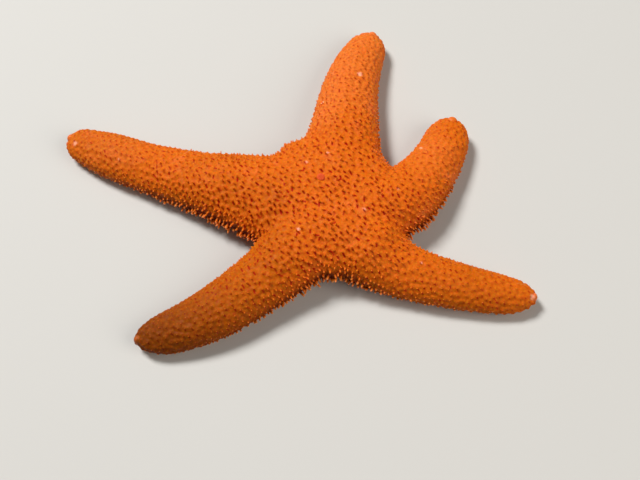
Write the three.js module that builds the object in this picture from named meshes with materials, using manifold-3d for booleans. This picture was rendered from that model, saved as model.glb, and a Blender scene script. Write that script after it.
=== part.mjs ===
// A five-armed orange sea star, life size, lying on a flat floor with one arm curled.
// Millimetres, +Z up, the sole on z = 0. The body is modelled whole, then parted with thin cuts into the
// disc, the five arms and the tip with the eyespot at each arm's end. Short blunt spines cover it, and
// each arm has a groove underneath with two rows of tube feet.
import * as THREE from "three";
import { mergeVertices } from "three/addons/utils/BufferGeometryUtils.js";
import Module from "manifold-3d";

const { clamp, degToRad, lerp, smoothstep } = THREE.MathUtils;

// ---------------------------------------------------------------- driving dimensions, mm and degrees

// The arms in order, clockwise from above. heading: where the arm leaves the disc, anticlockwise from +X.
// bends: how far it turns along its inner and its outer half. halfWidths: at the STATIONS along its length,
// without the spines. axil: from the disc's centre to the notch between this arm and the next. reach: how
// far the disc's dome goes towards that notch, short of it where the two arms meet in a deep fold.
const ARMS = [
  {
    side: "left", heading: 167, bends: [-5, -6], length: 124,
    halfWidths: [21, 14.3, 10.4, 8.9, 5.3], axil: 37, reach: 37,
  },
  {
    side: "back", heading: 84, bends: [0, -18], length: 98.5,
    halfWidths: [18.3, 14.4, 11.6, 9.2, 6.2], axil: 30.5, reach: 30.5,
  },
  {
    side: "right_back", heading: 3.5, bends: [48.5, 19.5], length: 77,
    halfWidths: [16, 13.6, 10.5, 9, 8.7], axil: 30.5, reach: 17,
  },
  {
    side: "right_front", heading: -51.5, bends: [36, 8], length: 92,
    halfWidths: [18, 11.4, 8.9, 7.2, 5], axil: 30, reach: 30,
  },
  {
    side: "left_front", heading: -130, bends: [-12.5, -20.5], length: 97,
    halfWidths: [16.8, 12.3, 10.2, 8, 5.6], axil: 37, reach: 18,
  },
];
const STATIONS = [0.18, 0.4, 0.65, 0.85, 1];
const BEND_SPANS = [[0.12, 0.55], [0.5, 0.95]]; // the shares of the length over which the two bends happen

const DISC_HEIGHT = 21.5;
const DISC_SQUARENESS = 0.77; // power on its section's sine and cosine: 1 is an ellipse, less is flatter
const THICKNESS = 1.42; // an arm's height over its half-width
const ARM_HEIGHT = 20.8; // and the most that it reaches, near the disc
const SOLE = 0.62; // half-width of the flat sole over that of the body
const WIDEST = 0.4; // height of the widest level over the whole height
const TIP_RISE = 1.6; // how far the sole lifts off the floor towards an arm's end
const TIP_RISE_FROM = 0.88;
const ROUNDING = 0.95; // length of an arm's rounded end over its last half-width
const ROUNDING_RISE = 4.2; // and how far the sole curves up in it

const SPINE_TOP = 1.5; // length of the spines on the back
const SPINE_SIDE = 2.5; // and on the flanks
const LOWEST_TILT = -12; // the lowest rows of spines point no further down than this
const FULL_SPINES_FROM = 12; // half-width of an arm from which on its spines have their full length
const SHORTEST = 0.45; // their share of it where the arm is thinnest
const COLUMNS = 14; // knots of the net across an arm's back. Every second knot is a spine
const RING_PITCH = 0.272; // spacing of an arm's rings over its half-width
const FINEST_PITCH = 0.7;
const RINGS_FROM = 18; // an arm's shell starts this far from the centre, inside the disc
const FIRST_RING = 0.85; // size of its first ring, which the disc's dome hides
const DISC_AROUND = 32; // knots round the disc
const DISC_LEVELS = 11; // and from its sole up to its middle
const CROWDED_LEVELS = 4; // of them the inner ones, where only every fourth knot is a spine

const CUT = 0.3; // width of the cuts between the pieces
const PAST_NOTCH = 4.5; // how far the corners of the disc's own piece reach past the notches
const TIP_LENGTH = 3.2; // of the tip with the eyespot
const SMALLEST = 0.05; // nothing finer than this is left where the solids meet

const GROOVE_HALF_WIDTH = 0.24; // of the groove under an arm, over the arm's half-width
const GROOVE_DEPTH = 4.2;
const GROOVE_FROM = 3;
const FOOT_RADIUS = 0.85;
const FOOT_PITCH = 13;
const FEET_FROM = 13;
const FEET_TO = 0.86; // share of the arm's length
const MOUTH_RADIUS = 6;
const MOUTH_DEPTH = 6;
const MADREPORITE = { heading: 121, distance: 11, radius: 1.6, rise: 1, sunk: 3 };

const COLOURS = { skin: 0xd96a1c, tip: 0xc9501f, madreporite: 0xd8542f, mouth: 0xe8b48a };

const wasm = await Module();
wasm.setup();

// ---------------------------------------------------------------- an arm's course and size

// A smooth curve through the values at the stations, at t.
function through(stations, values, t) {
  const last = stations.length - 1;
  const at = clamp(t, stations[0], stations[last]);
  const slope = (i) => {
    const [from, to] = [Math.max(i - 1, 0), Math.min(i + 1, last)];
    return (values[to] - values[from]) / (stations[to] - stations[from]);
  };
  const i = Math.max(0, Math.min(last - 1, stations.findLastIndex((station) => station <= at)));
  const span = stations[i + 1] - stations[i];
  const u = (at - stations[i]) / span;
  const leaving = values[i] * (1 + 2 * u) + slope(i) * span * u;
  const arriving = values[i + 1] * (3 - 2 * u) - slope(i + 1) * span * (1 - u);
  return leaving * (1 - u) ** 2 + arriving * u ** 2;
}

// The arm's heading, in radians, at a share t of its length.
function headingAt(arm, t) {
  const turned = BEND_SPANS.map(([from, to], i) => arm.bends[i] * smoothstep(t, from, to));
  return degToRad(arm.heading + turned[0] + turned[1]);
}

// The arm's centreline from the disc's centre, as points one step apart.
function courseOf(arm) {
  const steps = 200;
  const points = [new THREE.Vector2(0, 0)];
  for (let i = 0; i < steps; i++) {
    const a = headingAt(arm, (i + 0.5) / steps);
    const stride = new THREE.Vector2(Math.cos(a), Math.sin(a)).multiplyScalar(arm.length / steps);
    points.push(points[i].clone().add(stride));
  }
  return points;
}

for (const arm of ARMS) arm.course = courseOf(arm);

// Where the arm is and how large, at a distance s along it.
function stationAt(arm, s) {
  const t = Math.min(s / arm.length, 1);
  const k = t * (arm.course.length - 1);
  const i = Math.min(Math.floor(k), arm.course.length - 2);
  const a = headingAt(arm, t);
  const end = ROUNDING * arm.halfWidths.at(-1);
  const into = clamp((s - (arm.length - end)) / end, 0, 1);
  const round = Math.sqrt(1 - into * into);
  const halfWidth = through(STATIONS, arm.halfWidths, t) * round;
  return {
    centre: arm.course[i].clone().lerp(arm.course[i + 1], k - i),
    along: new THREE.Vector2(Math.cos(a), Math.sin(a)),
    halfWidth,
    height: Math.min(THICKNESS * halfWidth, ARM_HEIGHT),
    lift: TIP_RISE * smoothstep(t, TIP_RISE_FROM, 1) + ROUNDING_RISE * (1 - round),
  };
}

// A point of the section: across and up, with its outward direction. turn runs from -1, the left-hand
// edge of the sole, over the back at 0, to 1, the right-hand edge.
const SOLE_ANGLE = Math.acos(SOLE);
function sectionPoint(halfWidth, height, turn, squareness = 1) {
  const angle = Math.PI / 2 - turn * (Math.PI / 2 + SOLE_ANGLE);
  const level = WIDEST * height;
  const raised = Math.sin(angle) >= 0;
  const power = raised ? squareness : 1;
  const reach = raised ? height - level : level / Math.sin(SOLE_ANGLE);
  const tilt = Math.max(Math.sin(angle), Math.sin(degToRad(LOWEST_TILT)));
  return {
    across: Math.sign(Math.cos(angle)) * halfWidth * Math.abs(Math.cos(angle)) ** power,
    up: level + Math.sign(Math.sin(angle)) * reach * Math.abs(Math.sin(angle)) ** power,
    outAcross: Math.sign(Math.cos(angle)) * Math.sqrt(1 - tilt * tilt),
    outUp: tilt,
    spine: lerp(SPINE_TOP, SPINE_SIDE, 1 - Math.abs(Math.sin(angle))),
  };
}

// ---------------------------------------------------------------- solids

// A closed geometry as a manifold-3d solid.
function solid(geometry) {
  const bare = geometry.index ? geometry.toNonIndexed() : geometry.clone();
  bare.deleteAttribute("normal");
  bare.deleteAttribute("uv");
  const merged = mergeVertices(bare, 1e-4);
  return new wasm.Manifold(
    new wasm.Mesh({
      numProp: 3,
      vertProperties: merged.attributes.position.array,
      triVerts: new Uint32Array(merged.index.array),
    }),
  );
}

function geometryOf(manifold) {
  const mesh = manifold.getMesh();
  const geometry = new THREE.BufferGeometry();
  geometry.setAttribute("position", new THREE.BufferAttribute(mesh.vertProperties, 3));
  geometry.setIndex(new THREE.BufferAttribute(mesh.triVerts, 1));
  const flat = geometry.toNonIndexed();
  flat.computeVertexNormals();
  return flat;
}

// A closed shell through rings of equally many points, with a flat end on each side. A quad whose first
// corner is a spine is split off its other diagonal, so that each spine is a plain pyramid.
function shellOf(rings, isSpine = () => false) {
  const count = rings[0].length;
  const index = [];
  for (let i = 0; i + 1 < rings.length; i++) {
    for (let j = 0; j < count; j++) {
      const a = i * count + j;
      const b = i * count + ((j + 1) % count);
      const c = b + count;
      const d = a + count;
      index.push(...(isSpine(i, j) ? [a, b, d, b, c, d] : [a, b, c, a, c, d]));
    }
  }
  const last = (rings.length - 1) * count;
  for (let j = 1; j + 1 < count; j++) {
    index.push(0, j + 1, j);
    index.push(last, last + j, last + j + 1);
  }
  const geometry = new THREE.BufferGeometry().setFromPoints(rings.flat());
  geometry.setIndex(index);
  return solid(geometry);
}

// Points of a cross profile [across, up] at a station of an arm.
function placed(station, profile) {
  const { centre, along, lift } = station;
  const point = ([across, up]) =>
    new THREE.Vector3(centre.x + along.y * across, centre.y - along.x * across, up + lift);
  return profile.map(point);
}

// Distances along an arm, closer together where the arm is thinner, as its spines are.
function ringDistances(arm) {
  const found = [RINGS_FROM];
  while (found.at(-1) < arm.length - 2 * FINEST_PITCH) {
    const { halfWidth } = stationAt(arm, found.at(-1));
    found.push(found.at(-1) + Math.max(RING_PITCH * halfWidth, FINEST_PITCH));
  }
  found[found.length - 1] = arm.length - CUT;
  return found;
}

// An arm as one closed shell: a net over its back, with every second knot raised to a spine's point.
function armSolid(arm) {
  const distances = ringDistances(arm);
  const within = (k, count) => k > 0 && k < count;
  const isSpine = (i, j) => (i + j) % 2 === 0 && within(i, distances.length - 1) && within(j, COLUMNS);
  const rings = distances.map((s, i) => {
    const station = stationAt(arm, s);
    const grown = lerp(SHORTEST, 1, Math.min(1, station.halfWidth / FULL_SPINES_FROM));
    const size = i > 0 ? 1 : FIRST_RING;
    const profile = [];
    for (let j = 0; j <= COLUMNS; j++) {
      const p = sectionPoint(size * station.halfWidth, size * station.height, (2 * j) / COLUMNS - 1);
      const spine = isSpine(i, j) ? grown * p.spine : 0;
      profile.push([p.across + spine * p.outAcross, p.up + spine * p.outUp]);
    }
    return placed(station, profile);
  });
  return shellOf(rings, isSpine);
}

// The notches between neighbouring arms, by direction from the centre in degrees, with the disc's reach.
const NOTCHES = ARMS.map((arm, i) => {
  const next = ARMS[(i + 1) % ARMS.length];
  const between = (((arm.heading - next.heading) % 360) + 360) % 360;
  return { direction: (arm.heading - between / 2 + 360) % 360, distance: arm.axil, reach: arm.reach };
}).sort((a, b) => a.direction - b.direction);

// The disc's radius in a direction in degrees, which runs evenly from notch to notch.
function discRadius(direction) {
  const next = NOTCHES.findIndex((notch) => notch.direction > direction);
  const to = NOTCHES.at(next < 0 ? 0 : next);
  const from = NOTCHES.at((next < 0 ? 0 : next) - 1);
  const span = (to.direction - from.direction + 360) % 360;
  return lerp(from.reach, to.reach, ((direction - from.direction + 360) % 360) / span);
}

// The disc: a domed cushion with the same flanks and spines, in rings from the sole's edge to the top.
function discSolid() {
  const stride = (i) => (i > DISC_LEVELS - CROWDED_LEVELS ? 4 : 2);
  const isSpine = (i, j) => i > 0 && i < DISC_LEVELS && (j + (i * stride(i)) / 2) % stride(i) === 0;
  const rings = [];
  for (let i = 0; i <= DISC_LEVELS; i++) {
    const ring = [];
    for (let j = 0; j < DISC_AROUND; j++) {
      const direction = (360 * j) / DISC_AROUND;
      const turn = 1 - (0.94 * i) / DISC_LEVELS;
      const p = sectionPoint(discRadius(direction), DISC_HEIGHT, turn, DISC_SQUARENESS);
      const spine = isSpine(i, j) ? p.spine : 0;
      const r = p.across + spine * p.outAcross;
      const a = degToRad(direction);
      ring.push(new THREE.Vector3(r * Math.cos(a), r * Math.sin(a), p.up + spine * p.outUp));
    }
    rings.push(ring);
  }
  return shellOf(rings, isSpine);
}

const grooveDepth = (station) => Math.min(GROOVE_DEPTH, 0.35 * station.height);

// The groove under an arm, as the body that is cut away.
function grooveSolid(arm) {
  const steps = 12;
  const rings = [];
  for (let i = 0; i <= steps; i++) {
    const station = stationAt(arm, lerp(GROOVE_FROM, arm.length - TIP_LENGTH / 2, i / steps));
    const half = Math.max(GROOVE_HALF_WIDTH * station.halfWidth, 2 * CUT);
    const depth = grooveDepth(station);
    const below = -2 - station.lift;
    const leftSide = [[-half, below], [-half, 0.3 * depth], [-0.6 * half, depth]];
    const rightSide = leftSide.map(([across, up]) => [-across, up]).reverse();
    rings.push(placed(station, [...leftSide, ...rightSide]));
  }
  return shellOf(rings);
}

// The tube feet under an arm: two rows of short columns with their ends on the floor.
function feetSolids(arm) {
  const feet = [];
  for (let s = FEET_FROM; s < arm.length * FEET_TO; s += FOOT_PITCH) {
    const station = stationAt(arm, s);
    const half = GROOVE_HALF_WIDTH * station.halfWidth;
    const length = grooveDepth(station) + 2 * CUT;
    const radius = Math.min(FOOT_RADIUS, 0.3 * half);
    for (const side of [-1, 1]) {
      const foot = new THREE.CylinderGeometry(radius, radius, length, 5).rotateX(Math.PI / 2);
      const [at] = placed({ ...station, lift: 0 }, [[0.5 * side * half, length / 2]]);
      feet.push(solid(foot.translate(at.x, at.y, at.z)));
    }
  }
  return feet;
}

// A thin upright wall across the body, between two points of the plan.
function wallSolid(from, to) {
  const wall = new THREE.BoxGeometry(from.distanceTo(to) + CUT, CUT, 4 * DISC_HEIGHT);
  const middle = from.clone().lerp(to, 0.5);
  wall.rotateZ(to.clone().sub(from).angle()).translate(middle.x, middle.y, 0);
  return solid(wall);
}

// The walls that part the disc from the arms, from notch to notch, and each arm's tip from its arm.
function cutSolids() {
  const corners = NOTCHES.map(({ direction, distance }) =>
    new THREE.Vector2(distance + PAST_NOTCH, 0).rotateAround(new THREE.Vector2(), degToRad(direction)),
  );
  const walls = corners.map((corner, i) => wallSolid(corner, corners[(i + 1) % corners.length]));
  for (const arm of ARMS) {
    const { centre, along } = stationAt(arm, arm.length - TIP_LENGTH);
    const sideways = new THREE.Vector2(-along.y, along.x).multiplyScalar(2 * arm.halfWidths.at(-1));
    walls.push(wallSolid(centre.clone().sub(sideways), centre.clone().add(sideways)));
  }
  return walls;
}

// ---------------------------------------------------------------- small pieces of their own

const lathe = (profile, segments) =>
  new THREE.LatheGeometry(profile.map(([r, z]) => new THREE.Vector2(r, z)), segments).rotateX(Math.PI / 2);

// The height of the skin over a point near the disc's middle.
function discHeightAt(point) {
  const share = point.length() / discRadius((THREE.MathUtils.radToDeg(point.angle()) + 360) % 360);
  const sine = Math.sqrt(1 - share ** (2 / DISC_SQUARENESS));
  return DISC_HEIGHT * lerp(WIDEST, 1, sine ** DISC_SQUARENESS);
}

// The sieve plate on the back: a low button, and the round recess in the disc that it sits in.
function madreporite() {
  const { heading, distance, radius, rise, sunk } = MADREPORITE;
  const at = new THREE.Vector2(distance, 0).rotateAround(new THREE.Vector2(), degToRad(heading));
  const base = discHeightAt(at) - sunk;
  const rim = base + sunk;
  const edge = [[radius, base], [radius, rim], [0.7 * radius, rim + 0.7 * rise]];
  const button = [[0, base], ...edge, [0, rim + rise]];
  const hole = [[0, base - CUT], [radius + CUT, base - CUT], [radius + CUT, 2 * rim], [0, 2 * rim]];
  const place = (profile) => solid(lathe(profile, 12).translate(at.x, at.y, 0));
  return { piece: place(button), recess: place(hole) };
}

// The mouth: a thin skin across its hole in the disc, with an opening in the middle and five jaws.
function mouth() {
  const outer = MOUTH_RADIUS - CUT;
  const roof = MOUTH_DEPTH - CUT;
  let piece = solid(lathe([[1.4, roof], [1.2, 4.6], [1.6, 4], [outer, 3.2], [outer, roof], [1.4, roof]], 10));
  for (const { direction } of NOTCHES) {
    const jaw = new THREE.CylinderGeometry(0.5, 1.5, 3.2, 5).rotateZ(Math.PI / 2);
    piece = piece.add(solid(jaw.translate(3.4, 0, 2.9).rotateZ(degToRad(direction))));
  }
  const hole = new THREE.CylinderGeometry(MOUTH_RADIUS, MOUTH_RADIUS, 2 * MOUTH_DEPTH, 15);
  return { piece, recess: solid(hole.rotateX(Math.PI / 2)) };
}

// ---------------------------------------------------------------- the body, cut into its parts

const plate = madreporite();
const opening = mouth();
const whole = wasm.Manifold.union([discSolid(), ...ARMS.map(armSolid)])
  .subtract(wasm.Manifold.union([...ARMS.map(grooveSolid), plate.recess, opening.recess]))
  .add(wasm.Manifold.union(ARMS.flatMap(feetSolids)));
const pieces = whole.subtract(wasm.Manifold.union(cutSolids())).simplify(SMALLEST).decompose();

// The cut piece whose box is centred nearest to a point of the plan.
function pieceNear(point) {
  const distance = (piece) => {
    const { min, max } = piece.boundingBox();
    return Math.hypot((min[0] + max[0]) / 2 - point.x, (min[1] + max[1]) / 2 - point.y);
  };
  return pieces.reduce((best, piece) => (distance(piece) < distance(best) ? piece : best));
}

const star = new THREE.Group();
function addNode(name, manifold, colour) {
  const material = new THREE.MeshStandardMaterial({ color: colour, roughness: 0.6, metalness: 0 });
  const mesh = new THREE.Mesh(geometryOf(manifold), material);
  mesh.name = name;
  star.add(mesh);
}

addNode("disc", pieceNear(new THREE.Vector2(0, 0)), COLOURS.skin);
for (const arm of ARMS) {
  addNode(`arm_${arm.side}`, pieceNear(stationAt(arm, 0.65 * arm.length).centre), COLOURS.skin);
  addNode(`tip_${arm.side}`, pieceNear(stationAt(arm, arm.length).centre), COLOURS.tip);
}
addNode("madreporite", plate.piece, COLOURS.madreporite);
addNode("mouth", opening.piece, COLOURS.mouth);

// The origin is the middle of the box round the whole star, on the floor.
const box = new THREE.Box3().setFromObject(star);
star.position.set(-(box.min.x + box.max.x) / 2, -(box.min.y + box.max.y) / 2, 0);

export default star;
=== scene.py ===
"""A five-armed orange sea star, life size, lying on a pale studio floor.

The body is one field of distances, from the same named sizes as the CAD source: a disc and five arms,
melted together, with grooves and a mouth hollowed out underneath. It is meshed as one skin, and spines,
tube feet and small plates are set on that skin. Lengths are in millimetres until a mesh is made, and in
metres in the materials and for the lights.
"""

import math

import bpy
import numpy as np
import openvdb
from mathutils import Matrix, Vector
from mathutils.kdtree import KDTree


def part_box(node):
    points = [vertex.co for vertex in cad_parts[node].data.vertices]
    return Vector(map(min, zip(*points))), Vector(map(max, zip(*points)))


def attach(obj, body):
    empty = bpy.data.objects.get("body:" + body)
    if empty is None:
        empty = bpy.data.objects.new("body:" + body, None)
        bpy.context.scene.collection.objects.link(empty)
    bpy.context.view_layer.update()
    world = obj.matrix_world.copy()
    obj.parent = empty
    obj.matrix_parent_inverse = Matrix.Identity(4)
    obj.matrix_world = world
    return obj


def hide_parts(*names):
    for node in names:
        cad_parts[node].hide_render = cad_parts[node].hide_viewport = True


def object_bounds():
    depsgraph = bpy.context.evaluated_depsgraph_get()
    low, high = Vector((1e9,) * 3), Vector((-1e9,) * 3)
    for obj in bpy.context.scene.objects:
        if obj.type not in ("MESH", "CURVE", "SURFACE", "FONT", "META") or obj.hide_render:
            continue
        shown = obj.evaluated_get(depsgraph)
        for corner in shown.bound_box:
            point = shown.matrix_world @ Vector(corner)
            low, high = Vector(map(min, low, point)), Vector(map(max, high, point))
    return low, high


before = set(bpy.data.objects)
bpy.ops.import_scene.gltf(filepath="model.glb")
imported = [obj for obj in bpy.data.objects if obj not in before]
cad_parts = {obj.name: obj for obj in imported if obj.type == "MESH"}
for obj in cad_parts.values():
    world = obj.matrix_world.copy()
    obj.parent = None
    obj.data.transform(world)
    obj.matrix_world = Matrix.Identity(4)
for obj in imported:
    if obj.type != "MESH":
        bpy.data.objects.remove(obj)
cad_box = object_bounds()

MM = 0.001
rng = np.random.default_rng(11)

# ---------- sizes shared with the CAD source

# clockwise from above: heading, two bends, length, half-widths at the STATIONS, and the disc's reach towards
# the notch before the next arm
ARMS = {
    "left": (167, (-5, -6), 124, (21, 14.3, 10.4, 8.9, 5.3), 37),
    "back": (84, (0, -18), 98.5, (18.3, 14.4, 11.6, 9.2, 6.2), 30.5),
    "right_back": (3.5, (48.5, 19.5), 77, (16, 13.6, 10.5, 9, 8.7), 17),
    "right_front": (-51.5, (36, 8), 92, (18, 11.4, 8.9, 7.2, 5), 30),
    "left_front": (-130, (-12.5, -20.5), 97, (16.8, 12.3, 10.2, 8, 5.6), 18),
}
STATIONS = (0.18, 0.4, 0.65, 0.85, 1)
BEND_SPANS = ((0.12, 0.55), (0.5, 0.95))
DISC_HEIGHT = 21.5
DISC_SQUARENESS = 0.77
THICKNESS = 1.42
ARM_HEIGHT = 20.8
SOLE = 0.62
WIDEST = 0.4
TIP_RISE = 1.6
TIP_RISE_FROM = 0.88
GROOVE_HALF_WIDTH = 0.24  # of the arm's half-width
NARROWEST_GROOVE = 0.6
GROOVE_DEPTH = 4.2
GROOVE_DEPTH_SHARE = 0.35  # of the arm's height, if that is less
GROOVE_FROM = 3
GROOVE_SHORT = 1.6  # of the arm's end
MOUTH_RADIUS = 6
MADREPORITE_HEADING = 121
MADREPORITE_DISTANCE = 11
MADREPORITE_RADIUS = 1.6

# ---------- sizes of the skin

VOXEL = 0.55
MARGIN = 3.2  # of the grid round the body
FAR = 1e3  # the distance where nothing is near
SOLE_GAP = 0.9  # from the floor to the skin's sole
ARM_BLEND = 2.0  # how softly neighbouring arms melt together
DISC_BLEND = 3.0
HOLLOW_BLEND = 1.2
SHELL_FROM = 14  # an arm's body starts this far from the centre
BEHIND, BEYOND, BESIDE = 2, 12, 40  # how far round an arm its field is worked out
SOFTENING = 4  # passes of smoothing over the field
SKIN_DEPTH = (0.8, 0.0)  # how far it lies inside the solids' back, from the disc to an arm's end
SKIN_SPREAD = (0.5, 1.1)  # and how far out between the feet of their spines, on the flanks
THINNING = (0.2, 0.8)  # shares of an arm's length over which these two change
# How long each arm's rounded end is, how far its skin reaches past the solids' end, and the shares of its
# length over which the long spines and the painted shade in the gaps of its front flank fade.
COATS = {
    "left": (7.5, 0.8, (0.4, 0.95)),
    "back": (9.0, 0.3, (0.1, 0.3)),
    "right_back": (12.0, 0.4, (0.35, 0.85)),
    "right_front": (11.0, 1.2, (0.15, 0.45)),
    "left_front": (13.0, 1.8, (0.25, 0.9)),
}
MOUND = 0.34  # the skin rises this much to meet a spine
MOUND_REACH = 0.9
HOLLOW = 0.3  # and sinks this much between them
HOLLOW_GAPS = (0.7, 1.7)  # from the nearest spine to no hollow, and to all of it

# ---------- sizes of the spines, of their painted shadows and of the pale specks

SPOTS = 90000  # candidates for the spines' places
# By the slope of the skin that a spine stands on: the z of its normal, from the sole to the back.
SLOPES = (-1.0, -0.75, -0.45, -0.25, 0.0, 0.15, 0.3, 0.55, 0.8, 1.0)
SPINE_LENGTHS = (0.75, 0.9, 1.8, 2.4, 2.3, 2.0, 1.65, 1.45, 1.3, 1.25)
SPINE_RADII = (0.34, 0.38, 0.5, 0.58, 0.58, 0.52, 0.46, 0.42, 0.4, 0.4)
SPACINGS = (2.1, 2.0, 1.8, 1.75, 1.75, 1.75, 1.8, 2.05, 2.35, 2.45)
SHRINKING = (0.1, 0.95)  # shares of an arm's length over which its spines grow smaller
SHORTEST = 0.3  # their share of the full length at an arm's end
THINNEST = 0.6  # of the full radius
CLOSEST = 0.85  # and of the full spacing
FLANK_SLOPE = 0.7  # flanks are steeper than this
FLANK_SHORTEST = 0.45  # share of the full length on flanks away from the front
FRONT_LENGTH = 0.3  # how much longer the spines are above the front flanks
FRONT_CROWDING = 0.1  # and how much closer they stand
UNEVEN_SPACING = 0.16  # spread of the spacings, lengths and radii, as a natural logarithm
UNEVEN_LENGTH = 0.3
UNEVEN_RADIUS = 0.16
UNEVEN_DIRECTION = 0.09
SPINE_BEND = 0.07
OUTLIERS = (-1.8, 1.3)  # the least and the most that is let through, in spreads
LOW_STOUTNESS = 0.6  # how much wider the low spines are at their tips
ROW_SLOPE = -0.22  # where a row of long marginal spines runs along each side of an arm
ROW_BAND = 0.1
ROW_FROM = 20  # from the centre
ROW_BELOW = 12
ROW_SPACING = 3.7
ROW_ROOM = 2.4  # as the spacing to other spines
ROW_LENGTH = 0.95  # of the length by the slope
DISC_SPINES = 33  # spines within this distance of the centre are the disc's
PLATE_ROOM, CAP_ROOM = 0.5, 0.2  # free of spines round the sieve plate and an end plate
MOUTH_ROOM, GROOVE_ROOM = 1.5, 0.8  # round the mouth and on each side of a groove
GROOVE_BELOW = 8
ROOT_RISE = 0.4  # the share of its mound that a spine's root is raised by
FLOOR_CLEARANCE = 0.1
ABOVE_BOX = 0.4  # the most that spines reach over the solids' highest point
SHADOW_TOWARDS = (0.42, -0.42, -0.8)  # the painted shadow at a spine's root, a dark red streak, is drawn out this way along the skin, about the way the key light's shadows fall
SHADOW_LENGTH = 0.85
SHADOW_START = 0.12  # share of its length from the root to where it starts
SHADOW_STRENGTH = 0.76
FRONT_SHADOW = 0.5  # how much longer the painted shadows are on the front flanks
UNEVEN_SHADOW = 0.38  # spread of their lengths and strengths
UNEVEN_AIM = 0.25  # and of where they point
FAINTEST_SHADOW = 0.8  # share of a painted shadow's strength that is left at an arm's end
SMALLEST_SHADOW = 0.75  # and of its breadth
UV_PATCH = 0.003
UV_TAPER = 0.8  # a spine's tip is this much nearer its patch's middle than its foot
UNWRAP_REACH = 70  # of the disc's unwrap, outwards and down
SPECKS = {  # pale spots: the share of the arm's length, the place across it in half-widths, the radius
    "left": ((0.95, 0.45, 1.0), (0.76, 0.42, 0.5), (0.12, -0.66, 0.6)),
    "back": ((0.68, -0.32, 1.1), (0.51, 0.8, 0.8), (0.21, 0.29, 0.6)),
    "right_back": ((0.7, 0.76, 0.7), (0.34, 0.0, 0.5)),
    "right_front": ((0.13, 0.32, 0.7), (0.49, 0.22, 0.5), (0.985, -0.15, 1.1)),
    "left_front": ((0.21, -0.1, 0.7),),
}

# ---------- sizes of the feet and the plates

FOOT_PITCH = 2.3  # of the tube feet in each of a groove's two rows
FOOT_RADIUS = 0.52
FOOT_RADIUS_SHARE = 0.26  # of the groove's half-width, if that is less
SUCKER = 1.45  # a foot's largest radius over its usual one, as in FOOT
FEET_FROM = 8.0
FEET_SHORT = 3.0  # of the arm's end
GROOVE_SPINE_PITCH = 1.7
GROOVE_SPINE_LENGTH = 1.25
GROOVE_SPINE_RADIUS = 0.3
GROOVE_SPINES_SHORT = 3.5
CAP_RADII = (2.0, 2.1, 2.3)  # of the plate on an arm's end: along, across and up
CAP_BACK = 2.2  # its middle, back from the arm's end
CAP_SUNK = 1.9  # and below the skin's crest
USUAL_END = 5.6  # the half-width of an arm's end that these sizes go with
LARGEST_CAP = 1.2
EYE_RADIUS = 0.55
EYE_DROP = 1.5  # below the level where the arm is widest

# ---------- the arms' course and size


def polar(radius, degrees):
    a = math.radians(degrees)
    return np.array([radius * math.cos(a), radius * math.sin(a)])


def middle(node):
    low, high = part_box(node)
    return np.array([(low[i] + high[i]) / 2 / MM for i in range(3)])


# The madreporite is a round button at a known place from the disc's centre, here in the row's frame.
BUTTON = middle("madreporite")[:2]
CENTRE = BUTTON - polar(MADREPORITE_DISTANCE, MADREPORITE_HEADING)


def from_axis(points):
    """How far from the z axis points are, and how far round it in radians."""
    return np.hypot(points[:, 0], points[:, 1]), np.arctan2(points[:, 1], points[:, 0])


def from_centre(points):
    return from_axis(points[:, :2] - CENTRE)[0]


def unit(vectors):
    return vectors / np.linalg.norm(vectors, axis=1, keepdims=True)


def smoothstep(x, low, high):
    u = np.clip((x - low) / (high - low), 0, 1)
    return u * u * (3 - 2 * u)


def through(stations, values, t):
    """A smooth curve through the values at the stations, at each t."""
    x, y = np.array(stations, float), np.array(values, float)
    k = np.arange(len(x))
    before, after = np.maximum(k - 1, 0), np.minimum(k + 1, len(x) - 1)
    slope = (y[after] - y[before]) / (x[after] - x[before])
    t = np.clip(t, x[0], x[-1])
    i = np.clip(np.searchsorted(x, t, side="right") - 1, 0, len(x) - 2)
    span = x[i + 1] - x[i]
    u = (t - x[i]) / span
    leaving = y[i] * (1 + 2 * u) + slope[i] * span * u
    arriving = y[i + 1] * (3 - 2 * u) - slope[i + 1] * span * (1 - u)
    return leaving * (1 - u) ** 2 + arriving * u**2


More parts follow.
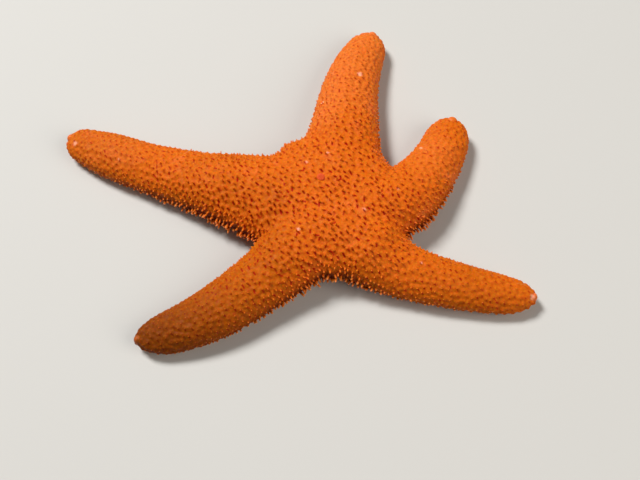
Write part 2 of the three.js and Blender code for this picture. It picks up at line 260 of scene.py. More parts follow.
class Arm:
    """An arm's centreline in the plan, and its section along it."""

    STEPS = 200
    AT_ONCE = 20000  # points that are located together

    def __init__(self, side, heading, bends, length, half_widths, axil):
        self.side, self.heading, self.length, self.axil = side, heading, length, axil
        self.bends, self.half_widths = bends, half_widths
        self.end, self.further, self.flank = COATS[side]
        turns = self.turn_at((np.arange(self.STEPS) + 0.5) / self.STEPS)
        strides = np.stack([np.cos(turns), np.sin(turns)], 1) * length / self.STEPS
        self.course = CENTRE + np.vstack([[0, 0], np.cumsum(strides, 0)])

    def turn_at(self, t):
        """The heading in radians at a share t of the length."""
        bent = sum(b * smoothstep(t, *span) for b, span in zip(self.bends, BEND_SPANS))
        return np.radians(self.heading + bent)

    def at(self, s):
        """Centre, along and left of the arm at a distance s along it, in the plan."""
        t = np.clip(np.asarray(s, float) / self.length, 0, 1)
        k = t * self.STEPS
        i = np.minimum(k.astype(int), self.STEPS - 1)
        share = (k - i)[..., None]
        centre = self.course[i] * (1 - share) + self.course[i + 1] * share
        a = self.turn_at(t)
        along = np.stack([np.cos(a), np.sin(a)], -1)
        left = np.stack([-np.sin(a), np.cos(a)], -1)
        return centre, along, left

    def half_width(self, s):
        return through(STATIONS, self.half_widths, np.asarray(s) / self.length)

    def height(self, s):
        return np.minimum(THICKNESS * self.half_width(s), ARM_HEIGHT)

    def rise(self, s):
        return TIP_RISE * smoothstep(np.asarray(s) / self.length, TIP_RISE_FROM, 1)

    def groove_half_width(self, s):
        return np.maximum(GROOVE_HALF_WIDTH * self.half_width(s), NARROWEST_GROOVE)

    def groove_depth(self, s):
        return np.minimum(GROOVE_DEPTH, GROOVE_DEPTH_SHARE * self.height(s)) + self.rise(s)

    def thinned(self, s, sizes):
        """A size of the coat that changes from the disc towards the arm's end."""
        return sizes[0] + (sizes[1] - sizes[0]) * smoothstep(np.asarray(s) / self.length, *THINNING)

    def locate(self, plan):
        """How far along the arm points of the plan are, and how far to the left."""
        s, d = np.empty(len(plan)), np.empty(len(plan))
        for k in range(0, len(plan), self.AT_ONCE):
            these = slice(k, k + self.AT_ONCE)
            p = plan[these]
            nearest = ((p[:, None] - self.course[None]) ** 2).sum(2).argmin(1)
            start = nearest * self.length / self.STEPS
            centre, along, left = self.at(start)
            s[these] = start + ((p - centre) * along).sum(1)
            d[these] = ((p - centre) * left).sum(1)
        return s, d


arms = [Arm(side, *sizes) for side, sizes in ARMS.items()]
# Direction in degrees and distance of each notch between neighbouring arms, by direction.
NOTCHES = sorted(
    ((arm.heading - (arm.heading - following.heading) % 360 / 2) % 360, arm.axil)
    for arm, following in zip(arms, arms[1:] + arms[:1])
)


def disc_radius(degrees):
    return np.interp(degrees % 360, [d for d, _ in NOTCHES], [r for _, r in NOTCHES], period=360)


# ---------- the body as a field of distances


def shell(parts, power=2.0):
    """Signed distance, nearly, to a rounded body from the offsets and radii along its axes."""
    shares = [np.abs(offset) / radius for offset, radius in parts]
    k = np.maximum(sum(share**power for share in shares) ** (1 / power), 1e-6)
    steep = sum((share ** (power - 1) / radius) ** 2 for share, (_, radius) in zip(shares, parts))
    return (k - 1) / np.maximum(np.sqrt(steep) * k ** (1 - power), 1e-6)


def melt(a, b, softness):
    """The union of two fields, rounded where they meet."""
    near = np.maximum(softness - np.abs(a - b), 0) / softness
    return np.minimum(a, b) - near * near * softness / 4


def carve(a, b, softness):
    """Field a without field b."""
    return -melt(-a, b, softness)


def depth_below(height):
    """How deep the lower half would be, if the sole didn't cut it off."""
    return WIDEST * height / math.sin(math.acos(SOLE))


def arm_field(arm, s, d, z):
    """One arm, at points s along it, d beside its centreline and z up."""
    height = arm.height(s)
    up = z - (WIDEST * height + arm.rise(s))
    reach = np.where(up > 0, (1 - WIDEST) * height - arm.thinned(s, SKIN_DEPTH), depth_below(height))
    past = np.maximum(s - (arm.length + arm.further - arm.end), 0)
    short = np.maximum(SHELL_FROM - s, 0)
    ends = np.where(past > 0, past, short)
    across = arm.half_width(s) + arm.thinned(s, SKIN_SPREAD)
    return shell([(d, across), (up, reach), (ends, np.where(past > 0, arm.end, SHELL_FROM))])


def groove_field(arm, s, d, z):
    half = arm.groove_half_width(s)
    outside = np.maximum(np.maximum(GROOVE_FROM - s, s - (arm.length - GROOVE_SHORT)), 0)
    return shell([(d, half), (z, arm.groove_depth(s)), (outside, half)])


def disc_field(plan, z):
    """The disc at one level: squarer above its widest level than below."""
    radius, turn = from_axis(plan - CENTRE)
    reach = disc_radius(np.degrees(turn)) + SKIN_SPREAD[0]
    level = WIDEST * DISC_HEIGHT
    up = z - level
    above = shell([(radius, reach), (up, DISC_HEIGHT - SKIN_DEPTH[0] - level)], 2 / DISC_SQUARENESS)
    below = shell([(radius, reach), (up, depth_below(DISC_HEIGHT))])
    return np.where(up > 0, above, below)


def body_field():
    """The field on a regular grid, and the grid's lowest corner."""
    low, high = (np.array(list(corner)) / MM for corner in cad_box)
    low, high = low - MARGIN, high + MARGIN
    counts = np.ceil((high - low) / VOXEL).astype(int) + 1
    x, y, z = (low[i] + VOXEL * np.arange(counts[i]) for i in range(3))
    plan = np.stack(np.meshgrid(x, y, indexing="ij"), -1).reshape(-1, 2)
    body = np.full((len(plan), len(z)), FAR)
    hollows = np.full_like(body, FAR)
    for arm in arms:
        s, d = arm.locate(plan)
        near = (np.abs(d) < BESIDE) & (s > -BEHIND) & (s < arm.length + BEYOND)
        s, d = s[near, None], d[near, None]
        body[near] = melt(body[near], arm_field(arm, s, d, z), ARM_BLEND)
        hollows[near] = np.minimum(hollows[near], groove_field(arm, s, d, z))
    for k, level in enumerate(z):
        body[:, k] = melt(body[:, k], disc_field(plan, level), DISC_BLEND)
    mouth = shell([(from_centre(plan)[:, None], MOUTH_RADIUS), (z[None], MOUTH_RADIUS)])
    body = carve(body, np.minimum(hollows, mouth), HOLLOW_BLEND)
    body = carve(body, z - SOLE_GAP, HOLLOW_BLEND)
    return body.reshape(counts), low


def softened(field):
    """The field, averaged with its neighbours along each axis."""
    for _ in range(SOFTENING):
        for axis in range(3):
            field = 0.5 * field + 0.25 * (np.roll(field, 1, axis) + np.roll(field, -1, axis))
    return field


# ---------- meshes


def added(name, data):
    """A new object of the scene."""
    made = bpy.data.objects.new(name, data)
    bpy.context.scene.collection.objects.link(made)
    return made


def mesh_object(name, points, *face_sets):
    """A smooth object from points in mm and arrays of faces, one array for each number of corners."""
    corners = np.concatenate([faces.ravel() for faces in face_sets]).astype(np.int32)
    sizes = np.concatenate([np.full(len(faces), faces.shape[1]) for faces in face_sets])
    mesh = bpy.data.meshes.new(name)
    mesh.vertices.add(len(points))
    mesh.vertices.foreach_set("co", (np.asarray(points) * MM).astype(np.float32).ravel())
    mesh.loops.add(len(corners))
    mesh.loops.foreach_set("vertex_index", corners)
    mesh.polygons.add(len(sizes))
    mesh.polygons.foreach_set("loop_start", (np.cumsum(sizes) - sizes).astype(np.int32))
    mesh.update(calc_edges=True)
    mesh.validate()
    mesh.shade_smooth()
    return added(name, mesh)


def give(made, name, values):
    """Stores one number for each point of a mesh, for its material."""
    attribute = made.data.attributes.new(name, "FLOAT", "POINT")
    attribute.data.foreach_set("value", np.asarray(values, np.float32))


def read_points(mesh):
    """The places in mm and the normals of a mesh's points."""
    read = np.empty((2, len(mesh.vertices) * 3), np.float32)
    mesh.vertices.foreach_get("co", read[0])
    mesh.vertex_normals.foreach_get("vector", read[1])
    points, normals = read.reshape(2, -1, 3).astype(float)
    return points / MM, normals


class Skin:
    """The body's surface, and for each of its points the arm that it belongs to."""

    def __init__(self):
        field, low = body_field()
        grid = openvdb.FloatGrid(MARGIN)
        grid.copyFromArray(softened(field).astype(np.float32))
        points, _, quads = grid.convertToPolygons(0.0, 0.0)
        self.quads = quads.astype(np.int64)
        self.piece = mesh_object("skin", points * VOXEL + low, self.quads)
        self.points, self.normals = read_points(self.piece.data)
        self.owner, self.s, self.d = self.place(self.points)
        self.half_width = np.choose(self.owner, [arm.half_width(self.s) for arm in arms])
        share = self.s / np.choose(self.owner, [arm.length for arm in arms])
        self.size = 1 - smoothstep(share, *SHRINKING)
        fading = np.choose(self.owner, [smoothstep(share, *arm.flank) for arm in arms])
        self.front = (1 - fading) * smoothstep(-self.normals[:, 1], -0.2, 0.35)

    def place(self, points):
        """The arm nearest to each point, and how far along it and to the left the point is."""
        places = [arm.locate(points[:, :2]) for arm in arms]
        fields = np.stack([arm_field(arm, s, d, points[:, 2]) for arm, (s, d) in zip(arms, places)])
        owner = fields.argmin(0)
        return owner, np.choose(owner, [s for s, _ in places]), np.choose(owner, [d for _, d in places])

    def spots(self, count):
        """Places strewn evenly over the skin: where, the normal and the skin's nearest point."""
        corners = self.points[self.quads]
        crossed = np.cross(corners[:, 2] - corners[:, 0], corners[:, 3] - corners[:, 1])
        areas = np.linalg.norm(crossed, axis=1)
        quad = rng.choice(len(areas), count, p=areas / areas.sum())
        u, v = rng.random((2, count, 1))
        shares = ((1 - u) * (1 - v), u * (1 - v), u * v, (1 - u) * v)
        where = sum(share * corners[quad, i] for i, share in enumerate(shares))
        normal = sum(share * self.normals[self.quads[quad, i]] for i, share in enumerate(shares))
        return where, unit(normal), self.quads[quad, 0]

    def on_back(self, spot):
        """The point of the back that is nearest to a spot of the plan."""
        under = np.where(self.normals[:, 2] > 0.1, 0.0, FAR)
        return (from_axis(self.points[:, :2] - spot)[0] + under).argmin()


def spaced(points, spacing, taken=()):
    """Indices of points, in order, that keep their spacing from each other and from those taken."""
    cell = float(np.max(spacing))
    grid, kept = {}, []
    for p, room in taken:
        grid.setdefault(tuple((p // cell).astype(int)), []).append((*p, room))
    around = [(i, j, k) for i in (-1, 0, 1) for j in (-1, 0, 1) for k in (-1, 0, 1)]
    cells = (points // cell).astype(int).tolist()
    for index, ((x, y, z), room, (ci, cj, ck)) in enumerate(zip(points.tolist(), spacing.tolist(), cells)):
        near = (q for i, j, k in around for q in grid.get((ci + i, cj + j, ck + k), ()))
        if all((x - a) ** 2 + (y - b) ** 2 + (z - c) ** 2 >= ((room + r) / 2) ** 2 for a, b, c, r in near):
            grid.setdefault((ci, cj, ck), []).append((x, y, z, room))
            kept.append(index)
    return np.array(kept, int)


# ---------- spines


def lathe(profile, sides, top=1.0):
    """Points, quads and triangles of a closed finger along z, from pairs of height and radius."""
    turns = 2 * np.pi * np.arange(sides) / sides
    rings = [np.stack([r * np.cos(turns), r * np.sin(turns), np.full(sides, z)], 1) for z, r in profile]
    points = np.vstack(rings + [[0, 0, profile[0][0]], [0, 0, top]])
    i = np.arange(sides)
    following = (i + 1) % sides
    band = np.stack([i, following, following + sides, i + sides], 1)
    quads = np.vstack([band + k * sides for k in range(len(profile) - 1)])
    foot, tip, last = len(points) - 2, len(points) - 1, (len(profile) - 1) * sides
    low_end = np.stack([following, i, np.full(sides, foot)], 1)
    high_end = np.stack([last + i, last + following, np.full(sides, tip)], 1)
    return points, quads, np.vstack([low_end, high_end])


FINGER = lathe([(-0.25, 1.3), (0, 1.2), (0.12, 1), (0.35, 0.84), (0.62, 0.7), (0.84, 0.54), (0.96, 0.3)], 9)
FOOT = lathe([
    (-0.1, 1.1), (0.1, 1.15), (0.3, 0.95), (0.55, 0.8), (0.76, 0.8), (0.86, 1.05), (0.92, 1.4),
    (0.98, SUCKER),
], 12)
BALL = lathe([(-math.cos(a), math.sin(a)) for a in np.radians(np.linspace(12, 168, 12))], 24)


def side_axes(aims):
    """Two unit vectors across each aim."""
    helper = np.where(np.abs(aims[:, 2:3]) < 0.9, [[0.0, 0.0, 1.0]], [[1.0, 0.0, 0.0]])
    across = unit(np.cross(helper, aims))
    return across, np.cross(aims, across)


def grown(name, finger, roots, aims, lengths, radii, tone, uv, pale=0.0, stout=0.0, bend=0.0):
    """One mesh of many fingers, with what its material needs: height up the finger, tone and paleness.

    Each bends aside by about a share of its length, and a stout one is wider at its tip.
    """
    shape, quads, triangles = finger
    height = np.clip(shape[:, 2], 0, 1)
    pale, stout = (np.broadcast_to(values, len(roots)) for values in (pale, stout))
    a, b = side_axes(aims)
    lean = rng.normal(0, bend, (2, len(roots), 1))
    bow = (lean[0] * a + lean[1] * b)[:, None] * (height**2)[None, :, None]
    r = (radii[:, None] * (1 + np.multiply.outer(stout, height)))[:, :, None]
    points = roots[:, None] + (shape[None, :, 0:1] * a[:, None] + shape[None, :, 1:2] * b[:, None]) * r
    points += (shape[None, :, 2:3] * aims[:, None] + bow) * lengths[:, None, None]
    steps = (np.arange(len(roots)) * len(shape))[:, None, None]
    faces = (quads + steps).reshape(-1, 4), (triangles + steps).reshape(-1, 3)
    made = mesh_object(name, points.reshape(-1, 3), *faces)
    give(made, "height", np.tile(height, len(roots)))
    give(made, "tone", np.repeat(tone, len(shape)))
    give(made, "pale", np.repeat(pale, len(shape)))
    _, around = from_axis(shape)
    patch = np.stack([np.cos(around), np.sin(around)], 1) * ((1 - UV_TAPER * height) * UV_PATCH / 2)[:, None]
    flat = (uv[:, None] + patch[None]).reshape(-1, 2)
    corners = np.empty(len(made.data.loops), np.int32)
    made.data.loops.foreach_get("vertex_index", corners)
    layer = made.data.uv_layers.new(name="OFBake")
    layer.uv.foreach_set("vector", flat[corners].astype(np.float32).ravel())
    return made


def on_unwrap(share, across, up):
    """Where the skin of an arm lies on an unwrap, by the share of its length and the way round it."""
    round_arm = np.arctan2(across, up) / (2 * np.pi) + 0.5
    return 0.02 + 0.96 * np.stack([np.clip(share, 0, 1.1) / 1.1, round_arm], 1)


def unwrapped(skin, nearest, on_disc):
    """Where spots lie on an unwrap of the skin: along and round an arm, or outwards over the disc."""
    p = skin.points[nearest]
    lengths = np.array([arm.length for arm in arms])[skin.owner[nearest]]
    across = skin.d[nearest] / skin.half_width[nearest]
    arm = on_unwrap(skin.s[nearest] / lengths, across, skin.normals[nearest, 2])
    radius, turn = from_axis(p[:, :2] - CENTRE)
    reach = np.minimum((radius + np.clip(DISC_HEIGHT - p[:, 2], 0, None)) / UNWRAP_REACH, 1)
    disc = 0.5 + 0.48 * np.stack([reach * np.cos(turn), reach * np.sin(turn)], 1)
    return np.where(on_disc[:, None], disc, arm)


def shrunk(size, least):
    """The share of a measure that is left, from all of it at size 1 to the least at size 0."""
    return least + (1 - least) * size


def marginal_spots(skin):
    """The lowest row of long spines on each side of each arm, evenly spaced."""
    in_band = np.abs(skin.normals[:, 2] - ROW_SLOPE) < ROW_BAND
    in_band &= (skin.points[:, 2] < ROW_BELOW) & (skin.s > ROW_FROM)
    found = []
    for number in range(len(arms)):
        for sign in (-1, 1):
            row = np.flatnonzero(in_band & (skin.owner == number) & (np.sign(skin.d) == sign))
            row = row[np.argsort(skin.s[row])]
            found.append(row[spaced(skin.points[row], ROW_SPACING * shrunk(skin.size[row], CLOSEST))])
    return np.concatenate(found)


def taken_up(where):
    """Where the sieve plate and the plates on the arms' ends leave no room for spines."""
    above = where[:, 2] > WIDEST * DISC_HEIGHT
    found = above & (from_axis(where[:, :2] - BUTTON)[0] < MADREPORITE_RADIUS + PLATE_ROOM)
    for arm in arms:
        cap, _, _, _, size = cap_place(arm)
        found |= np.linalg.norm(where - cap, axis=1) < (CAP_RADII[1] + CAP_ROOM) * size
    return found


def spine_spots(skin):
    """Where spines stand, the skin's normals there, its nearest points, and which of them are marginal."""
    where, normal, nearest = skin.spots(SPOTS)
    in_hollow = (normal[:, 2] < 0.2) & (from_centre(where) < MOUTH_RADIUS + MOUTH_ROOM)
    half = GROOVE_HALF_WIDTH * skin.half_width[nearest]
    in_groove = (normal[:, 2] < 0.5) & (np.abs(skin.d[nearest]) < half + GROOVE_ROOM)
    in_groove &= where[:, 2] < GROOVE_BELOW
    fine = ~(in_hollow | in_groove | taken_up(where))
    where, normal, nearest = where[fine], normal[fine], nearest[fine]
    spacing = np.interp(normal[:, 2], SLOPES, SPACINGS) * shrunk(skin.size[nearest], CLOSEST)
    spacing *= 1 - FRONT_CROWDING * skin.front[nearest]
    spacing *= np.exp(rng.normal(0, UNEVEN_SPACING, len(spacing)))
    rows = marginal_spots(skin)
    row_room = ROW_ROOM * shrunk(skin.size[rows], CLOSEST)
    kept = spaced(where, spacing, zip(skin.points[rows], row_room))
    where = np.vstack([skin.points[rows], where[kept]])
    normal = np.vstack([skin.normals[rows], normal[kept]])
    nearest = np.concatenate([rows, nearest[kept]])
    return where, normal, nearest, np.arange(len(where)) < len(rows)


def uneven(spread, count):
    """Factors about 1, without outliers."""
    return np.exp(spread * np.clip(rng.normal(0, 1, count), *OUTLIERS))


def build_spines(skin):
    """The pieces of spines, and where the spines stand, which way and how far in front."""
    where, normal, nearest, marginal = spine_spots(skin)
    count = len(where)
    slope, size, front = normal[:, 2], skin.size[nearest], skin.front[nearest]
    lengths = np.interp(slope, SLOPES, SPINE_LENGTHS) * shrunk(size, SHORTEST) * uneven(UNEVEN_LENGTH, count)
    lengths *= np.where(slope < FLANK_SLOPE, shrunk(front, FLANK_SHORTEST), 1.0)
    lengths *= 1 + FRONT_LENGTH * front * smoothstep(slope, 0.4, 0.6)
    lengths[marginal] *= ROW_LENGTH
    radii = np.interp(slope, SLOPES, SPINE_RADII) * shrunk(size, THINNEST) * uneven(UNEVEN_RADIUS, count)
    aims = unit(normal + rng.normal(0, UNEVEN_DIRECTION, (count, 3)))
    roots = where + normal * MOUND * ROOT_RISE
    room = roots[:, 2] - 1.5 * FLOOR_CLEARANCE - 0.3 * radii  # a leaning tip's rim is lower than its middle
    down = np.maximum(-aims[:, 2], 1e-3)
    lengths = np.minimum(lengths, np.where(aims[:, 2] < 0, room / down, np.inf))
    headroom = cad_box[1][2] / MM + ABOVE_BOX - where[:, 2]
    lengths = np.minimum(lengths, headroom / np.maximum(aims[:, 2], 0.1))
    tone = rng.normal(0, 1, count)
    pale = smoothstep(-slope, -0.45, 0.2)
    on_disc = from_centre(where) < DISC_SPINES
    uv = unwrapped(skin, nearest, on_disc)
    owners = np.where(on_disc, len(arms), skin.owner[nearest])
    pieces = []
    for number, side in enumerate([arm.side for arm in arms] + ["disc"]):
        each = (roots, aims, lengths, radii, tone, uv, pale, LOW_STOUTNESS * pale)
        mine = owners == number
        pieces.append(grown(f"spines_{side}", FINGER, *(values[mine] for values in each), bend=SPINE_BEND))
    return pieces, where, normal, front


def tree_of(points):
    """The points, ready for finding the nearest."""
    tree = KDTree(len(points))
    for i, p in enumerate(points.tolist()):
        tree.insert(p, i)
    tree.balance()
    return tree


def painted_shadows(skin, roots, normals, front):
    """For each point of the skin its distance from the nearest spine's painted shadow, a dark red streak
    drawn out about the way the key light's shadows fall, and how strong that is.
    """
    towards = np.array(SHADOW_TOWARDS) + rng.normal(0, UNEVEN_AIM, normals.shape)
    towards -= normals * (normals * towards).sum(1, keepdims=True)
    drawn = SHADOW_LENGTH * towards / np.maximum(np.linalg.norm(towards, axis=1, keepdims=True), 0.4)
    drawn *= (1 + FRONT_SHADOW * front[:, None]) * uneven(UNEVEN_SHADOW, len(roots))[:, None]
    tree = tree_of(roots + drawn * 0.5)
    nearest = np.array([tree.find(p)[1] for p in skin.points.tolist()])
    start, line = roots[nearest] + SHADOW_START * drawn[nearest], drawn[nearest]
    share = ((skin.points - start) * line).sum(1) / np.maximum((line**2).sum(1), 1e-6)
    foot = start + line * np.clip(share, 0, 1)[:, None]
    strength = np.clip(rng.normal(SHADOW_STRENGTH, UNEVEN_SHADOW, len(roots)), 0.15, 1.1)[nearest]
    strength *= shrunk(skin.size, FAINTEST_SHADOW) * smoothstep(skin.normals[:, 2], -0.8, -0.3)
    return np.linalg.norm(skin.points - foot, axis=1), strength


def shape_skin(skin, roots, normals, front):
    """Raises the skin to each spine and sinks it between them, and stores what its material needs."""
    tree = tree_of(roots)
    gap = np.array([tree.find(p)[2] for p in skin.points.tolist()])
    near = np.exp(-((gap / MOUND_REACH) ** 2))
    under = smoothstep(skin.normals[:, 2], -0.9, -0.4)
    lift = (MOUND * near - HOLLOW * smoothstep(gap, *HOLLOW_GAPS)) * under
    points = skin.points + skin.normals * lift[:, None]
    skin.piece.data.vertices.foreach_set("co", (points * MM).astype(np.float32).ravel())
    skin.piece.data.update()
    distance, strength = painted_shadows(skin, roots, normals, front)
    give(skin.piece, "painted_shadow", distance / shrunk(skin.size, SMALLEST_SHADOW))
    give(skin.piece, "strength", strength)
    flank = smoothstep(-skin.normals[:, 2], -0.55, 0.0) * smoothstep(skin.normals[:, 2], -0.95, -0.5)
    give(skin.piece, "shade", flank * shrunk(skin.front, 0.15))
    give(skin.piece, "belly", smoothstep(-skin.normals[:, 2], 0.5, 0.95))


def mark(skin, pieces):
    """Stores on the skin, its spines and the end plates where the pale specks lie."""
    centres = []
    for arm in arms:
        for share, across, radius in SPECKS[arm.side]:
            s = share * arm.length
            centre, _, left = arm.at(s)
            nearest = skin.on_back(centre + left * across * arm.half_width(s))
            centres.append((skin.points[nearest], radius))
    for piece in pieces:
        points, _ = read_points(piece.data)
        speck = np.zeros(len(points))
        for centre, radius in centres:
            distance = np.linalg.norm(points - centre, axis=1)
            speck = np.maximum(speck, smoothstep(-distance, -1.4 * radius, -0.6 * radius))
        give(piece, "speck", speck)


# ---------- the underside and the small pieces


def under_arm(arm, name, finger, s, d, *places, **looks):
    """One mesh of fingers under an arm, at points s along it and d beside its centreline."""
    tone = rng.normal(0, 1, len(s))
    uv = on_unwrap(s / arm.length, d / arm.half_width(s), -1.0)
    return grown(f"{name}_{arm.side}", finger, *places, tone, uv, **looks)


def tube_feet(arm):
    """Two rows of soft feet in an arm's groove, from its roof to the floor."""
    s = np.arange(FEET_FROM, arm.length - FEET_SHORT, FOOT_PITCH)
    half = np.tile(arm.groove_half_width(s), 2)
    s = np.concatenate([s, s + FOOT_PITCH / 2])
    side = np.repeat([-1.0, 1.0], len(s) // 2)
    d = side * half * 0.5 + rng.normal(0, 0.15, len(s))
    roof = arm.groove_depth(s) * np.sqrt(np.maximum(1 - (d / half) ** 2, 0.1))
    centre, _, left = arm.at(s)
    roots = np.column_stack([centre + left * d[:, None], roof + 0.2])
    lean = rng.normal(0, 0.12, (len(s), 2)) + left * side[:, None] * 0.12
    aims = unit(np.column_stack([lean, -np.ones(len(s))]))
    radii = np.minimum(FOOT_RADIUS, FOOT_RADIUS_SHARE * half) * np.exp(rng.normal(0, 0.1, len(s)))
    lifted = SUCKER * radii * np.hypot(aims[:, 0], aims[:, 1])
    lengths = (roots[:, 2] - FLOOR_CLEARANCE / 2 - lifted) / -aims[:, 2]
    return under_arm(arm, "tube_feet", FOOT, s, d, roots, aims, lengths, radii)


def groove_spines(arm):
    """The short spines along both edges of an arm's groove, two rows to an edge."""
    s = np.arange(FEET_FROM, arm.length - GROOVE_SPINES_SHORT, GROOVE_SPINE_PITCH)
    half = np.tile(arm.groove_half_width(s), 4)
    s = np.tile(s, 4)
    side = np.repeat([-1.0, 1.0, -1.0, 1.0], len(s) // 4)
    outer = np.repeat([0.0, 1.0], len(s) // 2)
    d = side * (half + 0.15 + 1.15 * outer)
    s = s + 0.5 * GROOVE_SPINE_PITCH * outer + rng.normal(0, 0.12, len(s))
    centre, _, left = arm.at(s)
    roots = np.column_stack([centre + left * d[:, None], SOLE_GAP + arm.rise(s) + 0.25])
    inwards = left * (-side * (0.9 - 0.75 * outer))[:, None]
    aims = unit(np.column_stack([inwards + rng.normal(0, 0.08, (len(s), 2)), -np.ones(len(s))]))
    room = (roots[:, 2] - FLOOR_CLEARANCE) / -aims[:, 2]
    lengths = np.minimum(GROOVE_SPINE_LENGTH, room) * np.exp(-np.abs(rng.normal(0, 0.1, len(s))))
    radii = GROOVE_SPINE_RADIUS * np.exp(rng.normal(0, 0.08, len(s)))
    return under_arm(arm, "groove_spines", FINGER, s, d, roots, aims, lengths, radii, pale=0.8, bend=0.04)


class Batch:
    """Closed shapes gathered into one mesh, with the kind of surface at each point."""

    def __init__(self):
        self.parts, self.count = [], 0

    def add(self, shape, centre, axes, sizes, kind):
        """Places a unit shape: its own x, y and z lie along the axes, times the sizes."""
        points, quads, triangles = shape
        points = centre + (points * sizes) @ np.array(axes, float)
        kinds = np.broadcast_to(kind, len(points))
        self.parts.append((points, quads + self.count, triangles + self.count, kinds))
        self.count += len(points)

    def build(self, name):
        *shape, kinds = (np.concatenate(arrays) for arrays in zip(*self.parts))
        made = mesh_object(name, *shape)
        give(made, "kind", kinds)
        return made


def frame_along(direction, up=(0.0, 0.0, 1.0)):
    """Axes whose z is the direction, with y towards up."""
    z = np.array(direction, float)
    z /= np.linalg.norm(z)
    y = np.array(up, float) - z * np.dot(up, z)
    y /= np.linalg.norm(y)
    return np.cross(y, z), y, z


PLATE, SOFT, EYE = 0.0, 1.0, 2.0  # kinds of surface


def build_mouth():
    """The thin skin round the mouth's opening, and five pairs of jaw plates with their spines."""
    batch = Batch()
    throat = [(5.0, 0.9), (4.3, 1.2), (3.9, 1.9), (3.7, 3.0), (3.6, MOUTH_RADIUS), (5.4, MOUTH_RADIUS)]
    points, quads, triangles = lathe(throat, 80, 5.4)
    radius, turn = from_axis(points)
    points[:, 2] += 0.16 * np.cos(40 * turn) * np.exp(-(((radius - 2.2) / 1.2) ** 2))  # wrinkles
    middle_of_mouth = np.array([*CENTRE, 0.0])
    batch.add((points, quads, triangles), middle_of_mouth, np.eye(3), 1.0, SOFT)
    for direction, _ in NOTCHES:
        outwards, sideways = (np.array([*polar(1, direction + turned), 0.0]) for turned in (0, 90))
        for side in (-1, 1):
            aside = sideways * side
            jaw = middle_of_mouth + outwards * 4.9 + aside * 0.72 + [0, 0, 2.2]
            batch.add(BALL, jaw, frame_along(aside * 0.12 - outwards), (0.74, 1.25, 1.9), PLATE)
            for step, length in ((0.0, 1.5), (0.45, 1.35), (0.9, 1.2), (1.35, 1.1)):
                root = jaw - outwards * (1.5 - step * 1.3) + aside * (0.1 + 0.35 * step) + [0, 0, -0.6]
                aim = -outwards * (1 - 0.55 * step) + aside * (0.15 + 0.6 * step) + [0, 0, -0.35]
                batch.add(FINGER, root, frame_along(aim), (0.3, 0.3, length), PLATE)
    return batch.build("mouth_skin_and_jaws")


def build_madreporite(skin):
    """The sieve plate: a low dome with winding furrows that fork on their way out."""
    nearest = skin.on_back(BUTTON)
    dome = [(-0.9, 1.0)] + [(0.16 + 0.42 * (1 - r * r), r) for r in np.linspace(1.0, 0.04, 16)]
    points, quads, triangles = lathe(dome, 120, 0.58)
    radius, turn = from_axis(points)
    turn += 0.3 * np.sin(5 * radius) * np.sin(3 * radius + 1)
    inner, outer = smoothstep(radius, 0.55, 0.3), smoothstep(radius, 0.6, 0.8)
    furrow = inner * np.cos(7 * turn) + (1 - inner - outer) * np.cos(14 * turn) + outer * np.cos(28 * turn)
    furrow *= smoothstep(points[:, 2], 0.0, 0.16) * smoothstep(radius, 0.05, 0.15)  # on its top only
    points[:, 2] += 0.1 * furrow
    batch = Batch()
    sizes = (MADREPORITE_RADIUS, MADREPORITE_RADIUS, 1.0)
    axes = frame_along(skin.normals[nearest], (0.0, 1.0, 0.0))
    batch.add((points, quads, triangles), skin.points[nearest], axes, sizes, furrow)
    return batch.build("sieve_plate")


def cap_place(arm):
    """The plate on an arm's end: its middle, along and left of the arm, the arm's level and its size."""
    size = min(arm.half_widths[-1] / USUAL_END, LARGEST_CAP)
    back = CAP_BACK * size
    s = arm.length + arm.further - back
    centre, along, left = arm.at(s)
    level = WIDEST * float(arm.height(s)) + float(arm.rise(s))
    crest = (1 - WIDEST) * float(arm.height(s)) * math.sqrt(1 - (1 - back / arm.end) ** 2)
    return np.array([*centre, level + crest - CAP_SUNK * size]), along, left, level, size


def build_tip(arm):
    """The smooth plate on an arm's end, the red eyespot under it and the last, pointed tube foot."""
    cap, along, left, level, size = cap_place(arm)
    along, left, up = np.array([*along, 0.0]), np.array([*left, 0.0]), np.array([0.0, 0.0, 1.0])
    batch = Batch()
    batch.add(BALL, cap, (along, left, up), np.array(CAP_RADII) * size, PLATE)
    eye = np.array([*cap[:2], level - EYE_DROP * size]) + along * size
    batch.add(BALL, eye, (along, left, up), EYE_RADIUS * size, EYE)
    root = eye - along * 1.2 - up * 0.3
    aim = 0.5 * along - up
    length = (root[2] - 2 * FLOOR_CLEARANCE) * math.hypot(0.5, 1)
    batch.add(FINGER, root, frame_along(aim), (0.36, 0.36, min(2.4, length)), SOFT)
    return batch.build(f"end_plate_{arm.side}")


# ---------- materials


